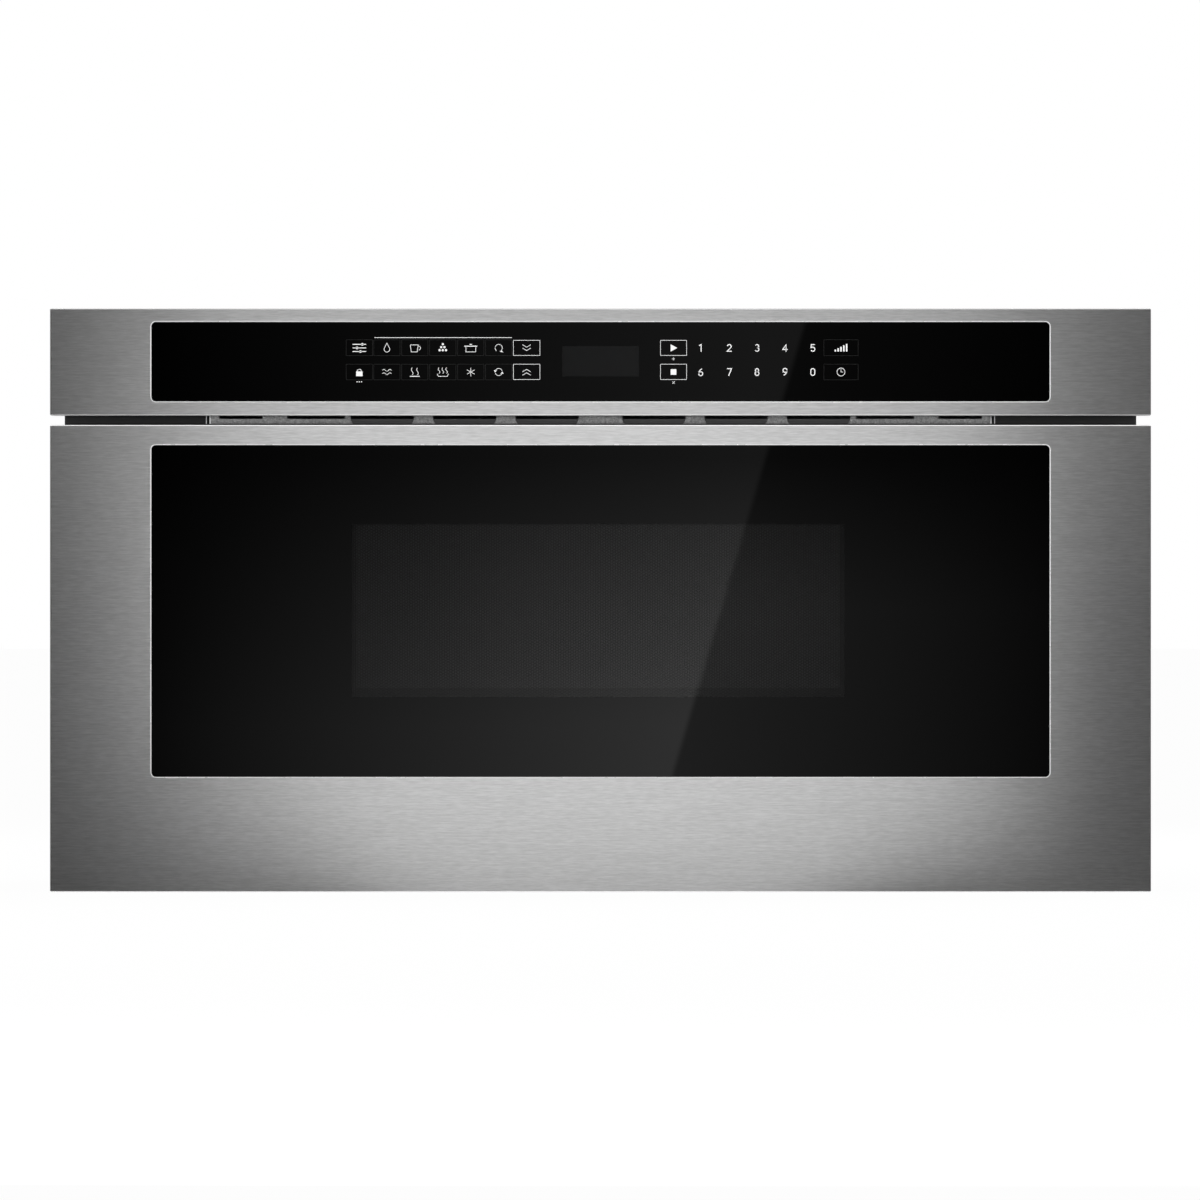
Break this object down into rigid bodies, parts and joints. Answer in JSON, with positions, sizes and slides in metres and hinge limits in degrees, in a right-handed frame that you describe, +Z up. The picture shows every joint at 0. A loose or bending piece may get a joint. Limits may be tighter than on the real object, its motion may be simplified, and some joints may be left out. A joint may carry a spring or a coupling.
{
  "type": "microwave drawer",
  "caption": "Built-in microwave oven with a motorised pull-out drawer, a steel front with a dark glass window, a glass touch panel above and a vent grille between them.",
  "frame": {"origin": "underside of the base plate, middle of its width, in the plane of the cabinet's front face (the back of the mounting frame's border)", "axes": "+X to the right seen from the front, +Y into the cabinet, +Z up; the drawer opens along -Y"},
  "size_m": [0.76, 0.602, 0.403],
  "materials": {
    "brushed_steel": "brushed across",
    "zinc_steel": "zinc-coated sheet, satin",
    "black_paint": "black satin",
    "grey_enamel": "grey, fine texture",
    "black_glass": "black-backed, polished",
    "clear_glass": "polished",
    "black_plastic": "satin",
    "grey_plastic": "satin",
    "white_plastic": "satin",
    "tray_ceramic": "smooth",
    "mica": "matt sheet",
    "board_green": "circuit board",
    "dark_display": "unlit display",
    "black_rubber": "matt",
    "aluminium": "satin",
    "coil_copper": "varnished"
  },
  "bodies": {
    "case": {"base_plate": "zinc_steel", "left_side_panel": "zinc_steel", "right_side_panel": "zinc_steel", "top_cover": "zinc_steel", "rear_panel": "zinc_steel", "mounting_frame": "black_paint", "cord_gland": "black_rubber", "cavity_left_wall": "grey_enamel", "cavity_right_wall": "grey_enamel", "cavity_floor": "grey_enamel", "cavity_ceiling": "grey_enamel", "cavity_rear_wall": "grey_enamel", "cavity_front_plate": "grey_enamel", "vent_grille": "grey_enamel", "stirrer_dome": "zinc_steel", "stirrer_cover": "mica", "stirrer_motor": "zinc_steel", "waveguide": "zinc_steel", "magnetron": "zinc_steel", "exhaust_duct": "black_paint", "fan_frame": "zinc_steel", "fan_motor": "zinc_steel", "transformer": "coil_copper", "capacitor": "aluminium", "power_board": "board_green", "cavity_lamp": "white_plastic", "control_bezel": "brushed_steel", "control_glass": "black_glass", "control_carrier": "black_plastic", "control_board": "board_green", "display_module": "dark_display", "left_interlock_switch": "black_plastic", "right_interlock_switch": "black_plastic", "left_slide_outer": "zinc_steel", "right_slide_outer": "zinc_steel", "left_slide_bracket": "zinc_steel", "right_slide_bracket": "zinc_steel", "drive_bracket": "zinc_steel", "drive_motor": "zinc_steel"},
    "drawer": {"drawer_skin": "brushed_steel", "drawer_glass": "black_glass", "door_frame": "black_plastic", "window_screen": "black_paint", "inner_window": "clear_glass", "choke_frame": "zinc_steel", "choke_cover": "grey_plastic", "drawer_bin": "grey_plastic", "bin_tray": "tray_ceramic", "left_slide_inner": "zinc_steel", "right_slide_inner": "zinc_steel", "left_drawer_arm": "zinc_steel", "right_drawer_arm": "zinc_steel", "drive_rack": "white_plastic"},
    "slide_middles": {"left_slide_middle": "zinc_steel", "right_slide_middle": "zinc_steel"},
    "drive_gear": {"drive_gear": "white_plastic"},
    "motor_pinion": {"motor_pinion": "aluminium"},
    "stirrer": {"stirrer_antenna": "aluminium"},
    "fan": {"fan_rotor": "white_plastic"}
  },
  "joints": [
    {"name": "drawer_slide", "type": "slide", "parent": "case", "child": "drawer", "axis": [0, -1, 0], "range_m": [0, 0.38]},
    {"name": "slide_middles_slide", "type": "slide", "parent": "case", "child": "slide_middles", "axis": [0, -1, 0], "range_m": [0, 0.19]},
    {"name": "drive_gear_spin", "type": "hinge", "parent": "case", "child": "drive_gear", "pos_m": [0, 0.034, 0.028], "axis": [1, 0, 0], "range_deg": [0, 1815]},
    {"name": "motor_pinion_spin", "type": "hinge", "parent": "case", "child": "motor_pinion", "pos_m": [0, 0.064, 0.028], "axis": [1, 0, 0], "range_deg": [-5444, 0]},
    {"name": "stirrer_spin", "type": "hinge", "parent": "case", "child": "stirrer", "pos_m": [0, 0.235, 0.3], "axis": [0, 0, 1], "continuous": true},
    {"name": "fan_spin", "type": "hinge", "parent": "case", "child": "fan", "pos_m": [0.294, 0.45, 0.24], "axis": [0, 1, 0], "continuous": true}
  ],
  "couplings": [
    {"joint": "slide_middles_slide", "follows": "drawer_slide", "ratio": 0.5},
    {"joint": "drive_gear_spin", "follows": "drawer_slide", "rad_per_m": 83.333},
    {"joint": "motor_pinion_spin", "follows": "drawer_slide", "rad_per_m": -250}
  ]
}
